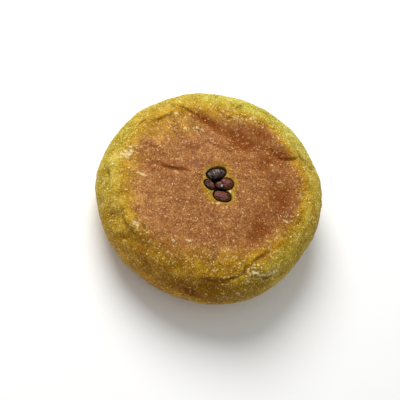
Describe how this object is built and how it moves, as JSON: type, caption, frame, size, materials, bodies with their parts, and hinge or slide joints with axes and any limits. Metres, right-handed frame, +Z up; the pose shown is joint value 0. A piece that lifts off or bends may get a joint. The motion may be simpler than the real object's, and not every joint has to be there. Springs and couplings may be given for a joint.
{
  "type": "red bean mugwort bun",
  "caption": "Round flat-topped bun of green mugwort dough with a browned face, a creased and cracked rim, and cooked red beans pressed into its middle.",
  "frame": {"origin": "middle of the flat foot, under the middle of the bun's box", "axes": "+Z up through the bean-studded face; +X to the right and +Y away from someone facing the side that shows nearest in the picture, where the torn crack lies at the right"},
  "size_m": [0.0992, 0.0998, 0.0315],
  "materials": {
    "baked_dough": "yeast dough green with mugwort, dry matt crust, browned on the flat face and yellow-green round the side, with fine pale grits",
    "dark_bean": "cooked adzuki bean, blackish purple skin, softly glossy and finely wrinkled",
    "red_bean": "cooked adzuki bean, dark maroon skin, softly glossy and finely wrinkled"
  },
  "bodies": {
    "root": {"dough": "baked_dough", "bean_1": "dark_bean", "bean_2": "dark_bean", "bean_3": "red_bean", "bean_4": "red_bean"}
  },
  "joints": []
}
